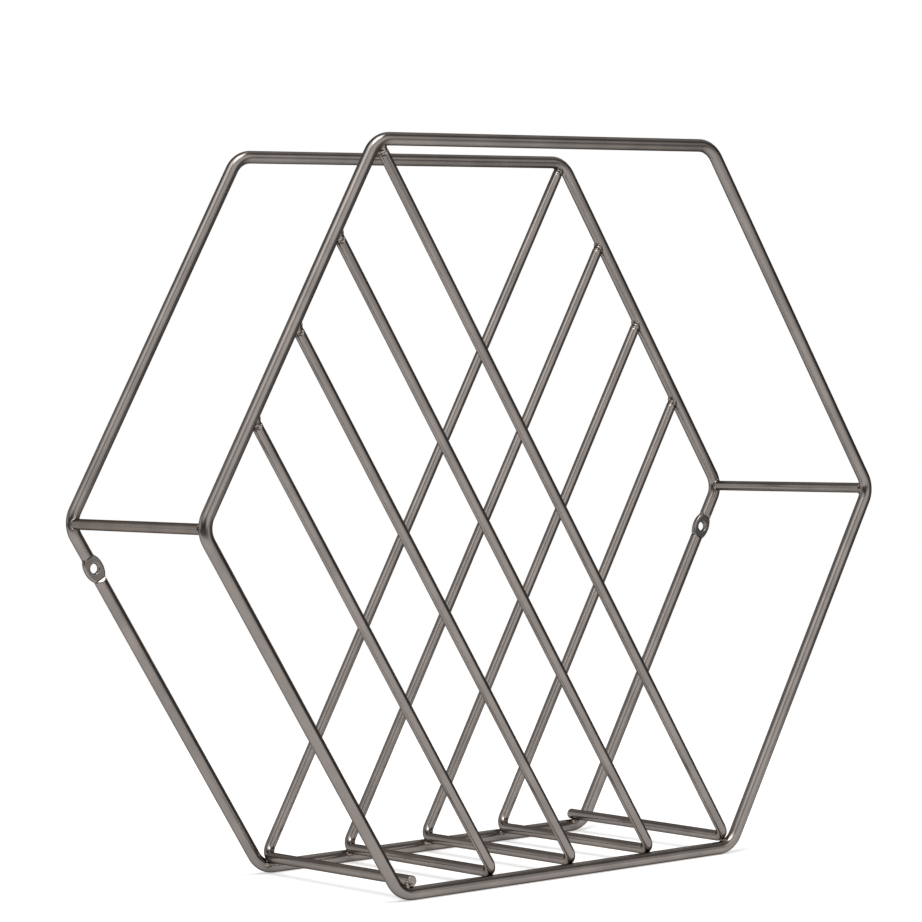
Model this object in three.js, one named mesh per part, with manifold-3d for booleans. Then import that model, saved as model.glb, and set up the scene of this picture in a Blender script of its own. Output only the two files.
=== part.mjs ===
// A hexagonal magazine rack, welded from round steel rod and wire. Two hexagons stand one behind the other
// on their bottom rails. A spacer rod joins them at each side corner, and five bent wires lie across both
// bottom rails. A wire turns up at a rail into a diagonal, which runs in that hexagon's plane, parallel to
// the leg beside it, and is welded to the far upper leg. The front diagonals lean to the left and the rear
// ones to the right, so the rack looks alike from both faces. It hangs on a wall by an eyelet pressed into
// each lower leg of the rear hexagon.
import * as THREE from 'three';
import { mergeVertices } from 'three/addons/utils/BufferGeometryUtils.js';
import Module from 'manifold-3d';

// Driving dimensions in millimetres. +X is to the right seen from the front, +Y to the rear and +Z up.
// The origin is on the floor, under the middle of the rack.
const HEXAGON_HEIGHT = 334; // centre of the bottom rail to centre of the top rail
const FRAME_SPACING = 114; // centre of the front hexagon's rod to centre of the rear one's
const ROD_DIAMETER = 6; // both hexagons
const CORNER_BEND = 12; // centreline radius of the hexagons' corners
const WIRE_DIAMETER = 5; // the five bent wires
const WIRE_BEND = 6; // centreline radius of the wires' bends
const WIRE_INSET = 4.4; // from the hexagon's lower corner point to the mark of the outermost wire
const WIRE_LEAN = 1.5; // a wire's front end lies this far right of its mark, and its rear end as far left
const WIRE_SETBACK = 1.8; // a wire's end without a diagonal is cut this far short of its hexagon's outer face
const SPACER_DIAMETER = 5;
const EYELET_REACH = 24; // from the side corner point down the leg to the hole
const EYELET_LENGTH = 11.5; // along the leg, between the two steps that the press leaves
const EYELET_WIDTH = 9.4; // at the hole, where the pressed metal has spread most
const EYELET_THICKNESS = 2.6;
const EYELET_HOLE = 4.5;
const EYELET_EDGE = 0.6; // rounding of the pressed edges
const EYELET_ROOT = 1; // how far the pressed tongue runs into the rod at each step
const FIT = 0.3; // gap between pieces that touch

// Weld beads: how far a bead spreads past the wire along the hexagon's rod, half its height over the joint,
// and how far it lies up the rod, where a slanting wire leaves the wider gap.
const RAIL_WELD = { reach: 1, height: 2.2, shift: 0 };
const LEG_WELD = { reach: 1, height: 2.4, shift: 0.9 };
const SPACER_WELD = { reach: 1, height: 1.8, shift: 0 };

// The bent wires from left to right, and the corners of a hexagon in turn.
const WIRES = ['left_end_wire', 'left_cradle_wire', 'middle_cradle_wire', 'right_cradle_wire', 'right_end_wire'];
const CORNERS = ['right', 'top_right', 'top_left', 'left', 'bottom_left', 'bottom_right'];

// Fineness of the round surfaces.
const ROD_SIDES = 16;
const BEND_STEP = THREE.MathUtils.degToRad(10);
const BEAD_SIDES = 10;
const BEAD_RINGS = 6;
const EDGE_STEPS = 2;
const SEAT_TOLERANCE = 0.001; // how closely a wire is brought down onto its seats
const CUT_TOLERANCE = 0.01; // how closely a diagonal is cut to length

// Colours of the dark satin plating and of the bare-looking weld metal.
const PLATING = { color: 0x5e5854, roughness: 0.4, metalness: 0.9 };
const WELD_METAL = { color: 0x4a4541, roughness: 0.5, metalness: 0.9 };

const ROD_RADIUS = ROD_DIAMETER / 2;
const WIRE_RADIUS = WIRE_DIAMETER / 2;
const HEXAGON_SIDE = HEXAGON_HEIGHT / Math.sqrt(3);
const RAIL_HEIGHT = ROD_RADIUS; // the bottom rails rest on the floor
const CORNER_HEIGHT = RAIL_HEIGHT + HEXAGON_HEIGHT / 2;
const FRONT = -FRAME_SPACING / 2;
const REAR = FRAME_SPACING / 2;
const SIXTH_TURN = Math.PI / 3;
const LAST_WIRE = WIRES.length - 1;
const FOOT_LENGTH = 3 * WIRE_BEND; // a diagonal's foot, the bend and a short straight above it

const wasm = await Module();
wasm.setup();

// A rod's centreline: straight runs from corner point to corner point, with a tangent arc at each bend. Its
// stations lie at the ends of the runs and along the arcs.
class BentPath extends THREE.Curve {
  constructor(corners, bendRadius, closed = false) {
    super();
    this.closed = closed;
    this.stations = [];
    corners.forEach((corner, index) => {
      const before = corners.at(index - 1);
      const after = corners[(index + 1) % corners.length];
      const incoming = corner.clone().sub(before).normalize();
      const outgoing = after.clone().sub(corner).normalize();
      if (!closed && index === 0) {
        this.stations.push({ point: corner, tangent: outgoing });
      } else if (!closed && index === corners.length - 1) {
        this.stations.push({ point: corner, tangent: incoming });
      } else {
        this.addBend(corner, incoming, outgoing, bendRadius);
      }
    });
    this.steps = closed ? this.stations.length : this.stations.length - 1;
    this.lines = Array.from({ length: this.steps }, (unused, index) => new THREE.Line3(
      this.stations[index].point,
      this.stations[(index + 1) % this.stations.length].point,
    ));
  }

  addBend(corner, incoming, outgoing, bendRadius) {
    const turn = incoming.angleTo(outgoing);
    const start = corner.clone().addScaledVector(incoming, -bendRadius * Math.tan(turn / 2));
    const inward = outgoing.clone().addScaledVector(incoming, -Math.cos(turn)).normalize();
    const steps = Math.round(turn / BEND_STEP);
    for (let step = 0; step <= steps; step += 1) {
      const angle = (turn * step) / steps;
      const point = start.clone();
      point.addScaledVector(incoming, bendRadius * Math.sin(angle));
      point.addScaledVector(inward, bendRadius * (1 - Math.cos(angle)));
      const tangent = incoming.clone().multiplyScalar(Math.cos(angle)).addScaledVector(inward, Math.sin(angle));
      this.stations.push({ point, tangent });
    }
  }

  stationAt(share) {
    return this.stations[Math.round(share * this.steps) % this.stations.length];
  }

  getPointAt(share, target = new THREE.Vector3()) {
    return target.copy(this.stationAt(share).point);
  }

  getTangentAt(share, target = new THREE.Vector3()) {
    return target.copy(this.stationAt(share).tangent);
  }

  // Turns the section by half a facet, so that a rod in a hexagon's plane has flat facets in front, behind
  // and below.
  computeFrenetFrames(steps, closed) {
    const frames = super.computeFrenetFrames(steps, closed);
    frames.tangents.forEach((tangent, index) => {
      frames.normals[index].applyAxisAngle(tangent, Math.PI / ROD_SIDES);
      frames.binormals[index].applyAxisAngle(tangent, Math.PI / ROD_SIDES);
    });
    return frames;
  }
}

// A round rod along a path, as a prism whose facets lie at the rod's diameter.
function rodAlong(path, diameter) {
  const radius = diameter / 2 / Math.cos(Math.PI / ROD_SIDES);
  if (path.closed) return new THREE.TubeGeometry(path, path.steps, radius, ROD_SIDES, true);
  const section = new THREE.Shape().absarc(0, 0, radius, 0, 2 * Math.PI);
  return new THREE.ExtrudeGeometry(section, {
    curveSegments: ROD_SIDES / 2,
    steps: path.steps,
    extrudePath: path,
  });
}

function solidOf(geometry) {
  const bare = geometry.clone().deleteAttribute('normal').deleteAttribute('uv');
  const merged = mergeVertices(bare);
  return new wasm.Manifold(new wasm.Mesh({
    numProp: 3,
    vertProperties: merged.attributes.position.array,
    triVerts: new Uint32Array(merged.index.array),
  }));
}

function geometryOf(solid) {
  const mesh = solid.getMesh();
  const geometry = new THREE.BufferGeometry();
  geometry.setAttribute('position', new THREE.BufferAttribute(mesh.vertProperties, 3));
  geometry.setIndex(new THREE.BufferAttribute(mesh.triVerts, 1));
  geometry.computeVertexNormals();
  return geometry;
}

// The largest body of a solid, because a cut can leave a loose sliver beside it.
function largestBody(solid) {
  return solid.decompose().reduce((largest, body) => (body.volume() > largest.volume() ? body : largest));
}

// Where two centrelines come closest: a point on each, and the second one's direction there.
function closestApproach(path, otherPath) {
  const best = { distance: Infinity };
  const point = new THREE.Vector3();
  const otherPoint = new THREE.Vector3();
  for (const line of path.lines) {
    for (const otherLine of otherPath.lines) {
      const distance = Math.sqrt(line.distanceSqToLine3(otherLine, point, otherPoint));
      if (distance < best.distance) {
        best.distance = distance;
        best.point = point.clone();
        best.otherPoint = otherPoint.clone();
        best.otherDirection = otherLine.delta(new THREE.Vector3()).normalize();
      }
    }
  }
  return best;
}

function hexagonCorners(y) {
  return CORNERS.map((name, index) => new THREE.Vector3(
    HEXAGON_SIDE * Math.cos(index * SIXTH_TURN),
    y,
    CORNER_HEIGHT + HEXAGON_SIDE * Math.sin(index * SIXTH_TURN),
  ));
}

function hexagonCorner(name, y) {
  return hexagonCorners(y)[CORNERS.indexOf(name)];
}

const frontLoop = new BentPath(hexagonCorners(FRONT), CORNER_BEND, true);
const rearLoop = new BentPath(hexagonCorners(REAR), CORNER_BEND, true);

// One eyelet: the tongue that a press leaves in the rod, flat on both faces, spread round its hole and set
// into the rod at both steps. It is drawn along X, with its faces towards -Z and +Z.
function eyeletTongue() {
  const half = EYELET_LENGTH / 2;
  const root = half + EYELET_ROOT;
  const neck = Math.sqrt(ROD_RADIUS ** 2 - (EYELET_THICKNESS / 2) ** 2);
  const swell = EYELET_WIDTH - neck; // control height that brings the curve out to the full width at the hole
  const outline = new THREE.Shape();
  outline.moveTo(-root, -neck);
  outline.lineTo(-half, -neck);
  outline.quadraticCurveTo(0, -swell, half, -neck);
  outline.lineTo(root, -neck);
  outline.lineTo(root, neck);
  outline.lineTo(half, neck);
  outline.quadraticCurveTo(0, swell, -half, neck);
  outline.lineTo(-root, neck);
  outline.holes.push(new THREE.Path().absarc(0, 0, EYELET_HOLE / 2, 0, 2 * Math.PI, true));
  const depth = EYELET_THICKNESS - 2 * EYELET_EDGE;
  const tongue = new THREE.ExtrudeGeometry(outline, {
    curveSegments: ROD_SIDES / 2,
    depth,
    bevelThickness: EYELET_EDGE,
    bevelSize: EYELET_EDGE,
    bevelOffset: -EYELET_EDGE,
    bevelSegments: EDGE_STEPS,
  });
  return tongue.translate(0, 0, -depth / 2);
}

// Presses an eyelet into the leg that runs down from a side corner of the rear hexagon.
function pressEyelet(hexagon, sideCorner, lowerCorner) {
  const corner = hexagonCorner(sideCorner, REAR);
  const down = hexagonCorner(lowerCorner, REAR).sub(corner).normalize();
  const towardsFront = new THREE.Vector3(0, -1, 0);
  const across = new THREE.Vector3().crossVectors(towardsFront, down);
  const place = new THREE.Matrix4().makeBasis(down, across, towardsFront);
  place.setPosition(corner.addScaledVector(down, EYELET_REACH));
  const pressed = new THREE.BoxGeometry(EYELET_LENGTH, 2 * ROD_DIAMETER, 2 * ROD_DIAMETER);
  return hexagon
    .subtract(solidOf(pressed.applyMatrix4(place)))
    .add(solidOf(eyeletTongue().applyMatrix4(place)));
}

function rearHexagon() {
  const plain = solidOf(rodAlong(rearLoop, ROD_DIAMETER));
  const left = pressEyelet(plain, 'left', 'bottom_left');
  return geometryOf(pressEyelet(left, 'right', 'bottom_right'));
}

// The directions in which the front and rear diagonals rise, parallel to the legs below the side corners.
const FRONT_RISE = new THREE.Vector3(-Math.cos(SIXTH_TURN), 0, Math.sin(SIXTH_TURN));
const REAR_RISE = new THREE.Vector3(Math.cos(SIXTH_TURN), 0, Math.sin(SIXTH_TURN));

// The two points where a wire's run crosses the bottom rails, at the given heights.
function wireFeet(index, heights) {
  const pitch = (HEXAGON_SIDE - 2 * WIRE_INSET) / LAST_WIRE;
  const mark = WIRE_INSET - HEXAGON_SIDE / 2 + index * pitch;
  return {
    front: new THREE.Vector3(mark + WIRE_LEAN, FRONT, heights.front),
    rear: new THREE.Vector3(mark - WIRE_LEAN, REAR, heights.rear),
  };
}

// The corner points of one wire, from its front end to its rear end. An end without a diagonal is cut short of
// the outer face of its hexagon.
function wireCorners(index, heights, lengths) {
  const { front, rear } = wireFeet(index, heights);
  const run = rear.clone().sub(front).normalize();
  const corners = [];
  if (index > 0) {
    corners.push(front.clone().addScaledVector(FRONT_RISE, lengths.front), front);
  } else {
    corners.push(front.addScaledVector(run, WIRE_SETBACK - ROD_RADIUS));
  }
  if (index < LAST_WIRE) {
    corners.push(rear, rear.clone().addScaledVector(REAR_RISE, lengths.rear));
  } else {
    corners.push(rear.addScaledVector(run, ROD_RADIUS - WIRE_SETBACK));
  }
  return corners;
}

// The part of a wire that lies on the rails, with only the feet of its diagonals.
function cradlePath(index, heights) {
  return new BentPath(wireCorners(index, heights, { front: FOOT_LENGTH, rear: FOOT_LENGTH }), WIRE_BEND);
}

// The lowest height at which a wire's run and its bend clear one bottom rail.
function seatedHeight(index, loop) {
  const reach = ROD_RADIUS + WIRE_RADIUS + FIT;
  let low = RAIL_HEIGHT;
  let high = RAIL_HEIGHT + 2 * reach;
  while (high - low > SEAT_TOLERANCE) {
    const height = (low + high) / 2;
    const path = cradlePath(index, { front: height, rear: height });
    if (closestApproach(path, loop).distance < reach) {
      low = height;
    } else {
      high = height;
    }
  }
  return high;
}

// True where the square-cut end of a diagonal, at the given centre, clears its hexagon.
function endClears(centre, rise, loop) {
  const across = new THREE.Vector3(0, 1, 0);
  const rimRadius = WIRE_RADIUS / Math.cos(Math.PI / ROD_SIDES);
  const nearest = new THREE.Vector3();
  for (let side = 0; side < 2 * ROD_SIDES; side += 1) {
    const spoke = across.clone().applyAxisAngle(rise, (side * Math.PI) / ROD_SIDES);
    const rim = centre.clone().addScaledVector(spoke, rimRadius);
    for (const line of loop.lines) {
      line.closestPointToPoint(rim, true, nearest);
      if (rim.distanceTo(nearest) < ROD_RADIUS + FIT) return false;
    }
  }
  return true;
}

// The length of a diagonal from its foot on the rail until its end meets the far upper leg.
function diagonalLength(foot, rise, loop) {
  const centreAt = (length) => foot.clone().addScaledVector(rise, length);
  let length = FOOT_LENGTH;
  for (const step of [ROD_RADIUS, CUT_TOLERANCE]) {
    while (endClears(centreAt(length + step), rise, loop)) length += step;
  }
  return length;
}

// A whole wire in its place, and the part of it that lies on the rails.
function seatedWire(index) {
  const heights = { front: seatedHeight(index, frontLoop), rear: seatedHeight(index, rearLoop) };
  const { front, rear } = wireFeet(index, heights);
  const lengths = {
    front: diagonalLength(front, FRONT_RISE, frontLoop),
    rear: diagonalLength(rear, REAR_RISE, rearLoop),
  };
  return {
    whole: new BentPath(wireCorners(index, heights, lengths), WIRE_BEND),
    cradle: cradlePath(index, heights),
  };
}

// A spacer from the rear of the front hexagon's side corner to the front of the rear one's.
function spacer(direction) {
  const cornerCut = CORNER_BEND * (1 / Math.cos(SIXTH_TURN / 2) - 1);
  const x = direction * (HEXAGON_SIDE - cornerCut);
  return new BentPath([
    new THREE.Vector3(x, FRONT + ROD_RADIUS + FIT, CORNER_HEIGHT),
    new THREE.Vector3(x, REAR - ROD_RADIUS - FIT, CORNER_HEIGHT),
  ]);
}

// A straight length of a wire's centreline, drawn out past the wire's end by the fitting gap.
function endLength(path, atFront) {
  const line = atFront ? path.lines[0] : path.lines.at(-1);
  const end = atFront ? line.start : line.end;
  const inner = atFront ? line.end : line.start;
  const outwards = end.clone().sub(inner).setLength(FIT);
  return new BentPath([inner, end.clone().add(outwards)]);
}

// A weld bead: a puddle about the place where a wire comes closest to a hexagon's rod, a little narrower
// than the rod and cut clear of both.
function weldBead(path, diameter, loop, weld) {
  const joint = closestApproach(path, loop);
  const outward = joint.point.clone().sub(joint.otherPoint).normalize();
  const along = joint.otherDirection;
  const aside = new THREE.Vector3().crossVectors(outward, along).normalize();
  const place = new THREE.Matrix4().makeBasis(along, aside, outward);
  const centre = joint.otherPoint.clone().addScaledVector(outward, ROD_RADIUS);
  place.setPosition(centre.addScaledVector(along, weld.shift * Math.sign(along.z)));
  const puddle = new THREE.SphereGeometry(1, BEAD_SIDES, BEAD_RINGS);
  puddle.scale(diameter / 2 + weld.reach, ROD_RADIUS - FIT, weld.height).applyMatrix4(place);
  const clearWire = rodAlong(path, diameter + 2 * FIT);
  const clearRod = rodAlong(loop, ROD_DIAMETER + 2 * FIT);
  const bead = solidOf(puddle).subtract(solidOf(clearWire)).subtract(solidOf(clearRod));
  return geometryOf(largestBody(bead));
}

const rack = new THREE.Group();

function addPiece(name, geometry, finish) {
  const mesh = new THREE.Mesh(geometry, new THREE.MeshStandardMaterial(finish));
  mesh.name = name;
  rack.add(mesh);
}

addPiece('front_hexagon', rodAlong(frontLoop, ROD_DIAMETER), PLATING);
addPiece('rear_hexagon', rearHexagon(), PLATING);

const HEXAGONS = [['front', frontLoop], ['rear', rearLoop]];

for (const [side, direction] of [['left', -1], ['right', 1]]) {
  const path = spacer(direction);
  addPiece(`${side}_spacer`, rodAlong(path, SPACER_DIAMETER), PLATING);
  for (const [face, loop] of HEXAGONS) {
    const end = endLength(path, face === 'front');
    addPiece(`${face}_${side}_spacer_weld`, weldBead(end, SPACER_DIAMETER, loop, SPACER_WELD), WELD_METAL);
  }
}

WIRES.forEach((name, index) => {
  const { whole, cradle } = seatedWire(index);
  addPiece(name, rodAlong(whole, WIRE_DIAMETER), PLATING);
  for (const [face, loop] of HEXAGONS) {
    addPiece(`${face}_rail_weld_${index + 1}`, weldBead(cradle, WIRE_DIAMETER, loop, RAIL_WELD), WELD_METAL);
    const hasDiagonal = face === 'front' ? index > 0 : index < LAST_WIRE;
    if (hasDiagonal) {
      const end = endLength(whole, face === 'front');
      addPiece(`${face}_leg_weld_${index + 1}`, weldBead(end, WIRE_DIAMETER, loop, LEG_WELD), WELD_METAL);
    }
  }
});

export default rack;
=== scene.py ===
"""A hexagonal rack of bent and welded steel rod, dressed for its portrait.

Every rod and wire is drawn as a bender makes it: a round section is run straight, swung round a bend, and
run straight again. Weld puddles then join the pieces, and each piece takes the place of its plain solid.
"""
import math

import bmesh
import bpy
from mathutils import Matrix, Vector


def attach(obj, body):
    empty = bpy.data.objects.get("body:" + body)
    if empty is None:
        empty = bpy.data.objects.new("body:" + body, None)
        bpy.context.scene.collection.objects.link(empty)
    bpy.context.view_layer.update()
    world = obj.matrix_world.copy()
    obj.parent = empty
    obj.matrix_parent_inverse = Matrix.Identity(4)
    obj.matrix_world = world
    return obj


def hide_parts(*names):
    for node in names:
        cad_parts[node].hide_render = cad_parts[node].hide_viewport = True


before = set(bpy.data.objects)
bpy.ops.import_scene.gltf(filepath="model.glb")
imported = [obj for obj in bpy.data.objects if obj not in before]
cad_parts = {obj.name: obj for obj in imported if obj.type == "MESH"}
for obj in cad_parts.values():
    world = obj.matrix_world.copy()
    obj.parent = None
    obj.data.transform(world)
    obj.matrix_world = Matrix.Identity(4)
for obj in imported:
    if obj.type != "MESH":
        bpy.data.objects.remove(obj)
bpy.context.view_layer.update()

MM = 0.001

# Stock and bends.
HEXAGON_HEIGHT = 334 * MM
FRAME_SPACING = 114 * MM
ROD_RADIUS = 3 * MM
CORNER_BEND = 12 * MM
WIRE_RADIUS = 2.5 * MM
WIRE_BEND = 6 * MM
SPACER_RADIUS = 2.5 * MM
SEAM_GAP = 0.05 * MM

# Cut ends: the rounded edge, each ring of the face, the dish in its middle, and the collar behind it.
CUT_EDGE = 0.35 * MM
CUT_RIM = 0.75 * MM
CUT_DISH = 0.3 * MM
COLLAR = 1.2 * MM

# Where the wires lie on the bottom rails, and how far short of the upper legs the diagonals are cut.
WIRE_INSET = 4.4 * MM
WIRE_LEAN = 1.5 * MM
CRADLE_HEIGHT = 6.95 * MM
END_BEND_HEIGHT = 7.95 * MM
END_CUT_HEIGHT = 8.65 * MM
END_CUT_SETBACK = 1.8 * MM
DIAGONAL_SETBACK = 5.1 * MM

# The eyelets that are pressed into the rear hexagon, and the sloped lips of the rod beside them.
EYELET_REACH = 24 * MM
EYELET_LENGTH = 11.5 * MM
EYELET_WIDTH = 9.4 * MM
EYELET_THICKNESS = 2.6 * MM
EYELET_HOLE = 4.5 * MM
EYELET_EDGE = 0.6 * MM
EYELET_BAND = 1.4 * EYELET_EDGE
EYELET_ROOT = 1.65 * MM
LIP_DEPTH = 1.05 * MM
LIP_LENGTH = 0.92 * MM

# Lumps of weld metal: their half lengths along the rod, across it and away from it.
LEG_FILLET = (2.2 * MM, 0.9 * MM, 1.8 * MM)
LEG_SPATTER = (0.8 * MM, 0.8 * MM, 0.5 * MM)
RAIL_SEAM = (2.3 * MM, 1.4 * MM, 1.5 * MM)
CUT_BEAD = (1.5 * MM, 1.3 * MM, 1.7 * MM)
CUT_DROP = (0.7 * MM, 0.8 * MM, 0.8 * MM)
TOE_BEAD = (1.9 * MM, 2.6 * MM, 1.1 * MM)
SPACER_RING = (3.1 * MM, 2.8 * MM, 1.4 * MM)
SPACER_BEAD = (0.9 * MM, 0.9 * MM, 0.9 * MM)
SPACER_DROP = (1 * MM, 1 * MM, 1 * MM)

# Leg welds. A ripple lies so far back from the middle of the leg, so far to the open side, and is so thick.
LEG_RIPPLES = (
    (4.9 * MM, 0.1 * MM, 2.46 * MM),
    (3.6 * MM, -0.15 * MM, 2.58 * MM),
    (2.3 * MM, 0.2 * MM, 2.5 * MM),
)
LEG_RIPPLE_REACH = 1.7 * MM
LEG_FILLET_BACK = 2.3 * MM
LEG_FILLET_SHIFT = 2 * MM
LEG_SPATTER_BACK = 5 * MM
LEG_SPATTER_SHIFT = 0.7 * MM
LEG_SPATTER_RISE = 2.2 * MM

# Rail welds on the front rail: the side of the rail they lie on, and places from the middle of the rail.
RAIL_SEAM_SIDE = Vector((0, 0.9, 0.5)).normalized()
CUT_SEAM_SIDE = Vector((0, 0.5, 0.5)).normalized()
CUT_BEAD_PLACE = Vector((-2.7 * MM, -0.9 * MM, 3.7 * MM))
CUT_DROP_PLACE = Vector((-2.4 * MM, -0.7 * MM, 5.4 * MM))
TOE_BEAD_PLACE = Vector((-0.1 * MM, 0.8 * MM, 3.3 * MM))

# Spacer welds: how far from the rod's middle they lie, and where their small lumps are.
SPACER_SEAT = 0.85 * ROD_RADIUS
SPACER_BEAD_RISE = 2.7 * MM
SPACER_DROP_SHIFT = 1.6 * MM
SPACER_DROP_FALL = 2 * MM

# Fineness of the round surfaces.
SECTION_SIDES = 32
BEND_STEPS = 14
HOLE_SIDES = 48
PUDDLE_STEPS = 4

SIDE = HEXAGON_HEIGHT / math.sqrt(3)
RAIL_HEIGHT = ROD_RADIUS
CORNER_HEIGHT = RAIL_HEIGHT + HEXAGON_HEIGHT / 2
CORNER_CUT = CORNER_BEND * (1 / math.cos(math.pi / 6) - 1)
FRONT = -FRAME_SPACING / 2
REAR = FRAME_SPACING / 2
UP = Vector((0, 0, 1))
RIGHT = Vector((1, 0, 0))
FORWARD = Vector((0, -1, 0))
FRONT_RISE = Vector((-0.5, 0, math.sqrt(3) / 2))
REAR_RISE = Vector((0.5, 0, math.sqrt(3) / 2))
WIRES = (
    "left_end_wire", "left_cradle_wire", "middle_cradle_wire", "right_cradle_wire", "right_end_wire",
)
LAST_WIRE = len(WIRES) - 1


def corner(sixth, y):
    """A corner point of a hexagon, counted in sixths of a turn from the right-hand corner."""
    angle = sixth * math.pi / 3
    return Vector((SIDE * math.cos(angle), y, CORNER_HEIGHT + SIDE * math.sin(angle)))


# Colours and finishes.


def linear(colour):
    """Linear colour of an sRGB hex value."""
    parts = [int(colour[start:start + 2], 16) / 255 for start in (1, 3, 5)]
    curve = [part / 12.92 if part <= 0.04045 else ((part + 0.055) / 1.055) ** 2.4 for part in parts]
    return (*curve, 1)


def add_node(tree, kind, links=(), ramp=(), **settings):
    """Adds a node with its settings, which are properties or inputs of it, and its colour ramp's stops. A
    link brings an output of another node, or a plain value, to one of its inputs."""
    node = tree.nodes.new(kind)
    for name, value in settings.items():
        if hasattr(node, name):
            setattr(node, name, value)
        else:
            node.inputs[name.replace("_", " ")].default_value = value
    for index, (position, colour) in enumerate(ramp):
        node.color_ramp.elements[index].position = position
        node.color_ramp.elements[index].color = colour
    for source, target in links:
        if isinstance(source, bpy.types.NodeSocket):
            tree.links.new(source, node.inputs[target])
        else:
            node.inputs[target].default_value = source
    return node


def new_material(name):
    material = bpy.data.materials.new(name)
    material.use_nodes = True
    material.node_tree.nodes.clear()
    return material, material.node_tree


def black_nickel():
    """Satin black nickel on drawn steel rod: a warm dark-grey metal with broad soft highlights that darken
    at the rim, faint clouds in the plating and a hint of the fine lines that the drawing die leaves."""
    cloud_size = 16 * MM
    line_size = 0.7 * MM
    line_depth = 0.02 * MM
    material, tree = new_material("satin_black_nickel_plate")
    place = add_node(tree, "ShaderNodeTexCoord").outputs["Object"]
    clouds = add_node(tree, "ShaderNodeTexNoise", [(place, "Vector")], Scale=1 / cloud_size, Detail=3)
    tint = add_node(
        tree, "ShaderNodeValToRGB", [(clouds.outputs["Fac"], "Fac")],
        ramp=((0.35, linear("#86807c")), (0.68, linear("#938b86"))))
    lines = add_node(tree, "ShaderNodeTexNoise", [(place, "Vector")], Scale=1 / line_size, Detail=2)
    gloss = add_node(
        tree, "ShaderNodeMapRange", [(clouds.outputs["Fac"], "Value")], To_Min=0.16, To_Max=0.22)
    bump = add_node(
        tree, "ShaderNodeBump", [(lines.outputs["Fac"], "Height")], Strength=0.06, Distance=line_depth)
    shader = add_node(
        tree, "ShaderNodeBsdfPrincipled",
        [(tint.outputs["Color"], "Base Color"), (gloss.outputs["Result"], "Roughness"),
         (bump.outputs["Normal"], "Normal")],
        Metallic=1.0, Specular_Tint=linear("#8c8680"))
    add_node(tree, "ShaderNodeOutputMaterial", [(shader.outputs["BSDF"], "Surface")])
    return material


def plated_weld():
    """Weld metal under the same plating: rippled and pitted by the torch. Its colour follows the ripples'
    height:
    painted shade darkens the hollows and painted highlight lightens the small crests."""
    ripple_size = 1.3 * MM
    pit_size = 0.9 * MM
    pit_depth = 0.2 * MM
    material, tree = new_material("plated_weld_metal")
    place = add_node(tree, "ShaderNodeTexCoord").outputs["Object"]
    ripples = add_node(tree, "ShaderNodeTexNoise", [(place, "Vector")], Scale=1 / ripple_size, Detail=2)
    pits = add_node(tree, "ShaderNodeTexVoronoi", [(place, "Vector")], Scale=1 / pit_size)
    # Painted shade and highlight: the colour is darker in the ripples' hollows and lighter on their crests.
    tint = add_node(
        tree, "ShaderNodeValToRGB", [(ripples.outputs["Fac"], "Fac")],
        ramp=((0.38, linear("#5c544e")), (0.64, linear("#aaa29c"))))
    height = add_node(
        tree, "ShaderNodeMath", [(ripples.outputs["Fac"], 0), (pits.outputs["Distance"], 1)],
        operation="ADD")
    bump = add_node(
        tree, "ShaderNodeBump", [(height.outputs["Value"], "Height")], Strength=0.25, Distance=pit_depth)
    shader = add_node(
        tree, "ShaderNodeBsdfPrincipled",
        [(tint.outputs["Color"], "Base Color"), (bump.outputs["Normal"], "Normal")],
        Metallic=1.0, Roughness=0.18, Specular_Tint=linear("#8c8680"))
    add_node(tree, "ShaderNodeOutputMaterial", [(shader.outputs["BSDF"], "Surface")])
    return material


PLATE = black_nickel()
WELD = plated_weld()


def add_piece(node, form, material):
    """Turns a finished form into the piece that stands for a node."""
    bmesh.ops.recalc_face_normals(form, faces=form.faces)
    for face in form.faces:
        face.smooth = len(face.verts) <= 4
    mesh = bpy.data.meshes.new(f"{node}_dressed")
    form.to_mesh(mesh)
    form.free()
    mesh.materials.append(material)
    piece = bpy.data.objects.new(f"{node}_dressed", mesh)
    bpy.context.scene.collection.objects.link(piece)
    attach(piece, "root")
    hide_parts(node)


# Rods and wires.


def only(kind, geometry):
    """The items of one kind, such as edges, in a result."""
    return [item for item in geometry if isinstance(item, kind)]


def edges_among(geometry):
    """The edges in a result whose two ends are in it too."""
    verts = set(only(bmesh.types.BMVert, geometry))
    return [edge for edge in only(bmesh.types.BMEdge, geometry) if verts.issuperset(edge.verts)]


def edges_of(verts):
    return list(dict.fromkeys(edge for vert in verts for edge in vert.link_edges))


def verts_of(edges):
    return list(dict.fromkeys(vert for edge in edges for vert in edge.verts))


def start_section(form, radius, place, direction):
    turn = UP.rotation_difference(direction).to_matrix().to_4x4()
    ring = bmesh.ops.create_circle(
        form, segments=SECTION_SIDES, radius=radius, matrix=Matrix.Translation(place) @ turn)
    return edges_of(ring["verts"])


def run_straight(form, section, shift):
    grown = bmesh.ops.extrude_edge_only(form, edges=section)["geom"]
    far_end = edges_among(grown)
    bmesh.ops.translate(form, verts=verts_of(far_end), vec=shift)
    return far_end


def swing_round(form, section, centre, axis, angle):
    swung = bmesh.ops.spin(
        form, geom=section + verts_of(section), cent=centre, axis=axis, angle=angle, steps=BEND_STEPS)
    return edges_among(swung["geom_last"])


def shear_end(form, section, inward):
    """Closes a cut end. The burr is taken off its rim, and the shears leave a shallow dish in its face."""
    face = bmesh.ops.edgeloop_fill(form, edges=section)["faces"]
    for depth in (0, CUT_DISH):
        bmesh.ops.inset_region(
            form, faces=face, thickness=CUT_RIM, use_boundary=True, use_even_offset=True)
        bmesh.ops.translate(form, verts=face[0].verts, vec=inward * depth)
    bmesh.ops.bevel(
        form, geom=section, offset=CUT_EDGE, offset_type="OFFSET", segments=2, profile=0.5,
        affect="EDGES", material=-1, clamp_overlap=True)


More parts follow.
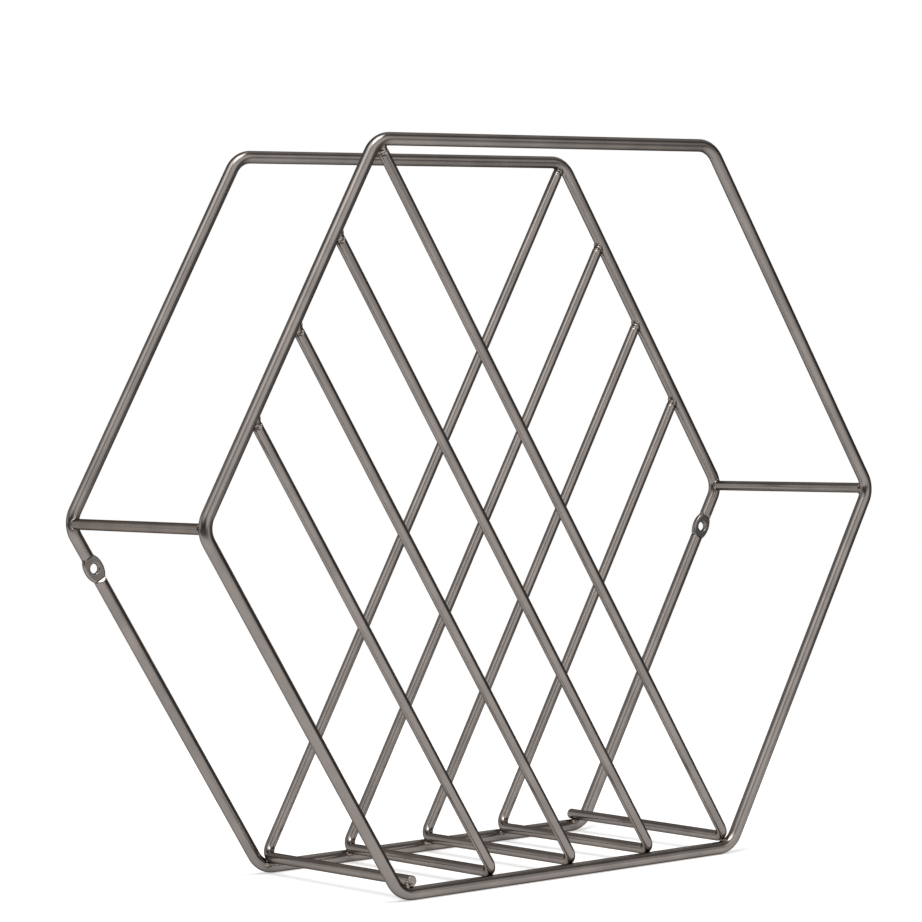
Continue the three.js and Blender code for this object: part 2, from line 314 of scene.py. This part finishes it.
def press_step(form, section, inward):
    """Closes a rod's end at an eyelet, where the press slopes the lip of the step in front and behind."""
    bmesh.ops.edgeloop_fill(form, edges=section)
    middle = sum((vert.co for vert in verts_of(section)), Vector()) / SECTION_SIDES
    for lip in (FORWARD, -FORWARD):
        verts = [vert for vert in form.verts if (vert.co - middle).length < ROD_RADIUS + COLLAR / 2]
        near = set(verts)
        edges = [edge for edge in form.edges if near.issuperset(edge.verts)]
        faces = [face for face in form.faces if near.issuperset(face.verts)]
        cut = bmesh.ops.bisect_plane(
            form, geom=[*verts, *edges, *faces], plane_co=middle + lip * (ROD_RADIUS - LIP_DEPTH),
            plane_no=lip * LIP_LENGTH - inward * LIP_DEPTH, clear_outer=True)["geom_cut"]
        bmesh.ops.edgeloop_fill(form, edges=only(bmesh.types.BMEdge, cut))


def bend_rod(form, points, radius, bend, close_end=shear_end):
    """A rod through the given points, bent at each inner one. A rod that ends where it starts is a closed
    loop. At an open end, a short collar keeps the end's edges off the shading of the long run."""
    is_loop = (points[0] - points[-1]).length < SEAM_GAP
    place = points[0]
    start = (points[1] - points[0]).normalized()
    first = start_section(form, radius, place, start)
    section = first
    if not is_loop:
        section = run_straight(form, section, start * COLLAR)
        place = place + start * COLLAR
    for before, bend_point, after in zip(points, points[1:], points[2:]):
        inward = (bend_point - before).normalized()
        onward = (after - bend_point).normalized()
        turn = inward.angle(onward)
        bend_reach = bend * math.tan(turn / 2)
        bend_start = bend_point - inward * bend_reach
        section = run_straight(form, section, bend_start - place)
        to_centre = (onward - inward * math.cos(turn)).normalized()
        axis = inward.cross(onward).normalized()
        section = swing_round(form, section, bend_start + to_centre * bend, axis, turn)
        place = bend_point + onward * bend_reach
    if is_loop:
        last = run_straight(form, section, points[-1] - place)
        bmesh.ops.remove_doubles(form, verts=verts_of(first + last), dist=SEAM_GAP)
    else:
        finish = (points[-1] - place).normalized()
        section = run_straight(form, section, points[-1] - finish * COLLAR - place)
        last = run_straight(form, section, finish * COLLAR)
        close_end(form, first, start)
        close_end(form, last, -finish)


def front_hexagon():
    form = bmesh.new()
    corners = [corner(sixth, FRONT) for sixth in range(6)]
    seam = (corners[4] + corners[5]) / 2
    bend_rod(form, [seam, corners[5], *corners[:5], seam], ROD_RADIUS, CORNER_BEND)
    add_piece("front_hexagon", form, PLATE)


def press_eyelet(form, centre, down):
    """The pressed tongue of an eyelet: a barrel-shaped flat with a punched hole, its edges rolled by the
    press."""
    across = FORWARD.cross(down)
    place = Matrix.Translation(centre) @ Matrix((down, across, FORWARD)).transposed().to_4x4()
    back = Matrix.Translation((0, 0, -EYELET_THICKNESS / 2))
    barrel = Matrix.Diagonal((EYELET_LENGTH / 2 + EYELET_ROOT, EYELET_WIDTH / 2, 1, 1))
    punch = Matrix.Diagonal((EYELET_HOLE / 2, EYELET_HOLE / 2, 1, 1))
    rims = []
    for shape in (barrel, punch):
        ring = bmesh.ops.create_circle(form, segments=HOLE_SIDES, radius=1, matrix=place @ back @ shape)
        rims += edges_of(ring["verts"])
    back_face = bmesh.ops.bridge_loops(form, edges=rims)["faces"]
    grown = bmesh.ops.extrude_face_region(form, geom=back_face)["geom"]
    bmesh.ops.translate(form, verts=only(bmesh.types.BMVert, grown), vec=FORWARD * EYELET_THICKNESS)
    front_face = only(bmesh.types.BMFace, grown)
    front_rims = dict.fromkeys(
        edge for face in front_face for edge in face.edges
        if any(other not in front_face for other in edge.link_faces))
    for face in (back_face, front_face):
        bmesh.ops.inset_region(
            form, faces=face, thickness=EYELET_BAND, use_boundary=True, use_even_offset=True)
    bmesh.ops.bevel(
        form, geom=[*rims, *front_rims], offset=EYELET_EDGE, offset_type="OFFSET", segments=3, profile=0.5,
        affect="EDGES", material=-1, clamp_overlap=True)


def rear_hexagon():
    """The rear hexagon, in two lengths that end at the eyelets' steps, with the tongues between them."""
    form = bmesh.new()
    corners = [corner(sixth, REAR) for sixth in range(6)]
    right_down = (corners[5] - corners[0]).normalized()
    left_down = (corners[4] - corners[3]).normalized()
    right_eye = corners[0] + right_down * EYELET_REACH
    left_eye = corners[3] + left_down * EYELET_REACH
    step = EYELET_LENGTH / 2
    upper = [right_eye - right_down * step, *corners[:4], left_eye - left_down * step]
    lower = [left_eye + left_down * step, corners[4], corners[5], right_eye + right_down * step]
    bend_rod(form, upper, ROD_RADIUS, CORNER_BEND, press_step)
    bend_rod(form, lower, ROD_RADIUS, CORNER_BEND, press_step)
    press_eyelet(form, right_eye, right_down)
    press_eyelet(form, left_eye, left_down)
    add_piece("rear_hexagon", form, PLATE)


def spacer(node, direction):
    form = bmesh.new()
    x = direction * (SIDE - CORNER_CUT)
    reach = FRAME_SPACING / 2 - ROD_RADIUS / 2
    ends = [Vector((x, -reach, CORNER_HEIGHT)), Vector((x, reach, CORNER_HEIGHT))]
    bend_rod(form, ends, SPACER_RADIUS, WIRE_BEND)
    add_piece(node, form, PLATE)


def is_cut_at(index, y):
    """Whether a wire is cut off at a bottom rail, where the others turn up into a diagonal."""
    return index == (0 if y < 0 else LAST_WIRE)


def wire_foot(index, y):
    """Where a wire's run crosses a bottom rail."""
    pitch = (SIDE - 2 * WIRE_INSET) / LAST_WIRE
    mark = WIRE_INSET - SIDE / 2 + index * pitch
    height = CRADLE_HEIGHT
    if index in (0, LAST_WIRE):
        height = END_CUT_HEIGHT if is_cut_at(index, y) else END_BEND_HEIGHT
    return Vector((mark + (WIRE_LEAN if y < 0 else -WIRE_LEAN), y, height))


def diagonal_top(foot, rise):
    """Where a diagonal meets the middle of the far upper leg, or the bend at the top of that leg."""
    side_corner = corner(3 if rise.x < 0 else 0, foot.y)
    leg = (corner(2 if rise.x < 0 else 1, foot.y) - side_corner).normalized()
    outward = leg.cross(rise).normalized().cross(leg)
    length = (side_corner - foot).dot(outward) / rise.dot(outward)
    top = foot + rise * length
    highest = CORNER_HEIGHT + HEXAGON_HEIGHT / 2 - CORNER_CUT
    return top - rise * max(0, (top.z - highest) / rise.z)


def bent_wire(index):
    front = wire_foot(index, FRONT)
    rear = wire_foot(index, REAR)
    along = (rear - front).normalized()
    points = [front, rear]
    if is_cut_at(index, FRONT):
        points[0] = front - along * (ROD_RADIUS - END_CUT_SETBACK)
    else:
        points.insert(0, diagonal_top(front, FRONT_RISE) - FRONT_RISE * DIAGONAL_SETBACK)
    if is_cut_at(index, REAR):
        points[-1] = rear + along * (ROD_RADIUS - END_CUT_SETBACK)
    else:
        points.append(diagonal_top(rear, REAR_RISE) - REAR_RISE * DIAGONAL_SETBACK)
    form = bmesh.new()
    bend_rod(form, points, WIRE_RADIUS, WIRE_BEND)
    add_piece(WIRES[index], form, PLATE)


# Welds.


def add_puddle(form, centre, along, outward, sizes):
    """One lump of weld metal: its half lengths along the rod, across it and away from it."""
    across = outward.cross(along).normalized()
    axes = Matrix((along, across, along.cross(across))).transposed().to_4x4()
    place = Matrix.Translation(centre) @ axes @ Matrix.Diagonal((*sizes, 1))
    bmesh.ops.create_icosphere(form, subdivisions=PUDDLE_STEPS, radius=1, matrix=place)


def leg_weld(node, foot, rise):
    """The weld at the top of a diagonal: three ripples that carry the cut wire on to the leg, a low fillet
    on the open side of the slanting joint, and a bead of spatter at the seam."""
    form = bmesh.new()
    top = diagonal_top(foot, rise)
    leg = REAR_RISE if rise.x < 0 else FRONT_RISE
    open_side = (leg - rise * leg.dot(rise)).normalized()
    outer = FORWARD if foot.y < 0 else -FORWARD
    for back, shift, radius in LEG_RIPPLES:
        ripple = top - rise * back + open_side * shift
        add_puddle(form, ripple, rise, outer, (LEG_RIPPLE_REACH, radius, radius))
    web = (leg + rise).normalized()
    fillet = top - rise * LEG_FILLET_BACK + open_side * LEG_FILLET_SHIFT
    add_puddle(form, fillet, web, outer, LEG_FILLET)
    spatter = top - rise * LEG_SPATTER_BACK + open_side * LEG_SPATTER_SHIFT + outer * LEG_SPATTER_RISE
    add_puddle(form, spatter, rise, outer, LEG_SPATTER)
    add_piece(node, form, WELD)


def rail_weld(node, foot, index):
    """The weld under a wire where it lies on a bottom rail, on the side away from the toe of the bend. A
    wire's cut end has two beads of weld beside it too, and an end wire's bend has one under its toe."""
    form = bmesh.new()
    is_cut = is_cut_at(index, foot.y)
    is_end_bend = index in (0, LAST_WIRE) and not is_cut
    half_turn = Matrix.Identity(3) if foot.y < 0 else Matrix.Diagonal((-1, -1, 1))
    rail = Vector((foot.x, foot.y, RAIL_HEIGHT))
    lean = half_turn @ (CUT_SEAM_SIDE if is_cut else RAIL_SEAM_SIDE)
    add_puddle(form, rail + lean * ROD_RADIUS, RIGHT, lean, RAIL_SEAM)
    if is_cut:
        add_puddle(form, rail + half_turn @ CUT_BEAD_PLACE, RIGHT, UP, CUT_BEAD)
        add_puddle(form, rail + half_turn @ CUT_DROP_PLACE, RIGHT, UP, CUT_DROP)
    if is_end_bend:
        add_puddle(form, rail + half_turn @ TOE_BEAD_PLACE, RIGHT, UP, TOE_BEAD)
    add_piece(node, form, WELD)


def spacer_weld(node, direction, y):
    """The ring of weld round a spacer's end, on the inner face of a hexagon's side corner, with a bead on
    top of it and a drop below."""
    form = bmesh.new()
    inward = FORWARD if y > 0 else -FORWARD
    seat = Vector((direction * (SIDE - CORNER_CUT), y, CORNER_HEIGHT)) + inward * SPACER_SEAT
    add_puddle(form, seat, UP, inward, SPACER_RING)
    add_puddle(form, seat + UP * SPACER_BEAD_RISE, UP, inward, SPACER_BEAD)
    below = Vector((-SPACER_DROP_SHIFT * direction, 0, -SPACER_DROP_FALL))
    add_puddle(form, seat + below, UP, inward, SPACER_DROP)
    add_piece(node, form, WELD)


front_hexagon()
rear_hexagon()
for side_name, side_direction in (("left", -1), ("right", 1)):
    spacer(f"{side_name}_spacer", side_direction)
    for face_name, face_y in (("front", FRONT), ("rear", REAR)):
        spacer_weld(f"{face_name}_{side_name}_spacer_weld", side_direction, face_y)
for wire in range(len(WIRES)):
    bent_wire(wire)
    for face_name, face_y, face_rise in (("front", FRONT, FRONT_RISE), ("rear", REAR, REAR_RISE)):
        wire_end = wire_foot(wire, face_y)
        rail_weld(f"{face_name}_rail_weld_{wire + 1}", wire_end, wire)
        if not is_cut_at(wire, face_y):
            leg_weld(f"{face_name}_leg_weld_{wire + 1}", wire_end, face_rise)


# Stage, light and camera.

# The dim studio, and its lit walls: the way to each, the turns towards it at which its light begins and is
# full, and its brightness.
DIM = 0.07
WALLS = (
    (Vector((-0.5, -0.5, 0.7)), 0.82, 0.98, 0.38),
    (Vector((0.13, -0.94, 0.31)), 0.72, 0.97, 1.1),
    (Vector((-0.7, -0.06, 0.71)), 0.8, 0.98, 0.9),
    (Vector((-0.59, 0.81, 0)), 0.7, 0.98, 0.75),
    (Vector((0.58, 0.74, 0.34)), 0.5, 0.95, 0.5),
    (Vector((0.62, 0.17, 0.77)), 0.8, 0.97, 0.28),
    (Vector((-0.3, -0.15, 0.94)), 0.85, 0.97, 1.4),
)


def lean_towards(tree, place, way, start, full):
    """How far a place or a direction leans one way, smoothly from 0 at the start to 1 where it is full."""
    reach = add_node(tree, "ShaderNodeVectorMath", [(place, 0), (way, 1)], operation="DOT_PRODUCT")
    step = add_node(
        tree, "ShaderNodeMapRange", [(reach.outputs["Value"], "Value")], interpolation_type="SMOOTHSTEP",
        From_Min=start, From_Max=full)
    return step.outputs["Result"]


def white_floor():
    """A matt white sweep that keeps the soft shadow round the rack and runs into plain white away from it.
    In the metal it mirrors bright at the front left, and dim at the back right and past its left edge."""
    half_width = 12
    fill = 0.45
    shadow_end = 0.35
    plain_start = 0.9
    front_left = Vector((-1, -0.45, 0))
    front_left_start = -0.55
    front_left_full = 0
    front_left_lift = 0.66
    back_gloom = 0.8
    left_edge = Vector((-0.91, -0.42, 0))
    left_edge_start = 0.4
    left_edge_full = 0.85
    left_edge_gloom = 0.85
    form = bmesh.new()
    bmesh.ops.create_grid(form, x_segments=1, y_segments=1, size=half_width)
    mesh = bpy.data.meshes.new("floor")
    form.to_mesh(mesh)
    form.free()
    material, tree = new_material("matt_white_sweep")
    place = add_node(tree, "ShaderNodeTexCoord").outputs["Object"]
    path = add_node(tree, "ShaderNodeLightPath")
    distance = add_node(tree, "ShaderNodeVectorMath", [(place, 0)], operation="LENGTH")
    far = add_node(
        tree, "ShaderNodeMapRange", [(distance.outputs["Value"], "Value")],
        interpolation_type="SMOOTHSTEP", From_Min=shadow_end, From_Max=plain_start)
    seen = add_node(
        tree, "ShaderNodeMath",
        [(path.outputs["Is Camera Ray"], 0), (path.outputs["Is Glossy Ray"], 1)], operation="MAXIMUM")
    strength = add_node(
        tree, "ShaderNodeMath", [(seen.outputs["Value"], 0), (fill, 1)], operation="MULTIPLY")
    paper = add_node(tree, "ShaderNodeBsdfDiffuse", Color=linear("#e6e6e6"))
    glow = add_node(
        tree, "ShaderNodeEmission", [(strength.outputs["Value"], "Strength")], Color=linear("#ffffff"))
    near = add_node(
        tree, "ShaderNodeAddShader", [(paper.outputs["BSDF"], 0), (glow.outputs["Emission"], 1)])
    white = add_node(tree, "ShaderNodeEmission", Color=linear("#ffffff"))
    sweep = add_node(
        tree, "ShaderNodeMixShader",
        [(far.outputs["Result"], 0), (near.outputs["Shader"], 1), (white.outputs["Emission"], 2)])
    at_front_left = lean_towards(tree, place, front_left, front_left_start, front_left_full)
    past_left_edge = lean_towards(tree, place, left_edge, left_edge_start, left_edge_full)
    shade = add_node(
        tree, "ShaderNodeMath", [(at_front_left, 0), (-front_left_lift, 1), (back_gloom, 2)],
        operation="MULTIPLY_ADD")
    edge = add_node(
        tree, "ShaderNodeMath", [(past_left_edge, 0), (left_edge_gloom, 1)], operation="MULTIPLY")
    gloom = add_node(
        tree, "ShaderNodeMath", [(shade.outputs["Value"], 0), (edge.outputs["Value"], 1)],
        operation="MAXIMUM")
    mirrored = add_node(
        tree, "ShaderNodeMath", [(gloom.outputs["Value"], 0), (path.outputs["Is Glossy Ray"], 1)],
        operation="MULTIPLY")
    dark = add_node(tree, "ShaderNodeEmission", Color=linear("#000000"))
    both = add_node(
        tree, "ShaderNodeMixShader",
        [(mirrored.outputs["Value"], 0), (sweep.outputs["Shader"], 1), (dark.outputs["Emission"], 2)])
    add_node(tree, "ShaderNodeOutputMaterial", [(both.outputs["Shader"], "Surface")])
    mesh.materials.append(material)
    floor = bpy.data.objects.new("floor", mesh)
    bpy.context.scene.collection.objects.link(floor)


def studio_world():
    """White to the camera. To the rack it is a dim studio with soft walls of light in front, at the left,
    behind and overhead."""
    world = bpy.data.worlds.new("studio")
    world.use_nodes = True
    tree = world.node_tree
    tree.nodes.clear()
    direction = add_node(tree, "ShaderNodeTexCoord").outputs["Generated"]
    level = DIM
    for way, start, full, brightness in WALLS:
        wall = lean_towards(tree, direction, way, start, full)
        level = add_node(
            tree, "ShaderNodeMath", [(wall, 0), (brightness, 1), (level, 2)],
            operation="MULTIPLY_ADD").outputs["Value"]
    path = add_node(tree, "ShaderNodeLightPath")
    strength = add_node(
        tree, "ShaderNodeMath", [(level, 0), (path.outputs["Is Camera Ray"], 1)], operation="MAXIMUM")
    sky = add_node(
        tree, "ShaderNodeBackground", [(strength.outputs["Value"], "Strength")], Color=linear("#ffffff"))
    add_node(tree, "ShaderNodeOutputWorld", [(sky.outputs["Background"], "Surface")])
    bpy.context.scene.world = world


def overhead_box():
    """A large square lamp over the front of the rack, aimed at its middle."""
    place = Vector((-0.15, -0.5, 1.8))
    lamp = bpy.data.lights.new("overhead_box", "AREA")
    lamp.shape = "SQUARE"
    lamp.size = 0.9
    lamp.energy = 12
    holder = bpy.data.objects.new("overhead_box", lamp)
    aim = Vector((0, 0, CORNER_HEIGHT)) - place
    holder.matrix_world = Matrix.Translation(place) @ aim.to_track_quat("-Z", "Y").to_matrix().to_4x4()
    bpy.context.scene.collection.objects.link(holder)


def portrait_camera():
    azimuth = math.radians(-36.2043)
    elevation = math.radians(1.6093)
    roll = math.radians(-1.753)
    distance = 1511.7 * MM
    target = Vector((-14.1 * MM, 0, 191.5 * MM))
    image_size = 922
    focal_pixels = 3216.57
    back = Vector((
        math.sin(azimuth) * math.cos(elevation),
        -math.cos(azimuth) * math.cos(elevation),
        math.sin(elevation),
    ))
    right = (-back).cross(UP).normalized()
    upward = right.cross(-back)
    tilted_right = right * math.cos(roll) + upward * math.sin(roll)
    tilted_up = upward * math.cos(roll) - right * math.sin(roll)
    lens = bpy.data.cameras.new("portrait")
    lens.sensor_width = 36
    lens.lens = focal_pixels / image_size * lens.sensor_width
    lens.clip_end = 100
    camera = bpy.data.objects.new("portrait", lens)
    turn = Matrix((tilted_right, tilted_up, back)).transposed().to_4x4()
    camera.matrix_world = Matrix.Translation(target + back * distance) @ turn
    bpy.context.scene.collection.objects.link(camera)
    bpy.context.scene.camera = camera


white_floor()
studio_world()
overhead_box()
portrait_camera()
bpy.context.scene.view_settings.view_transform = "Standard"
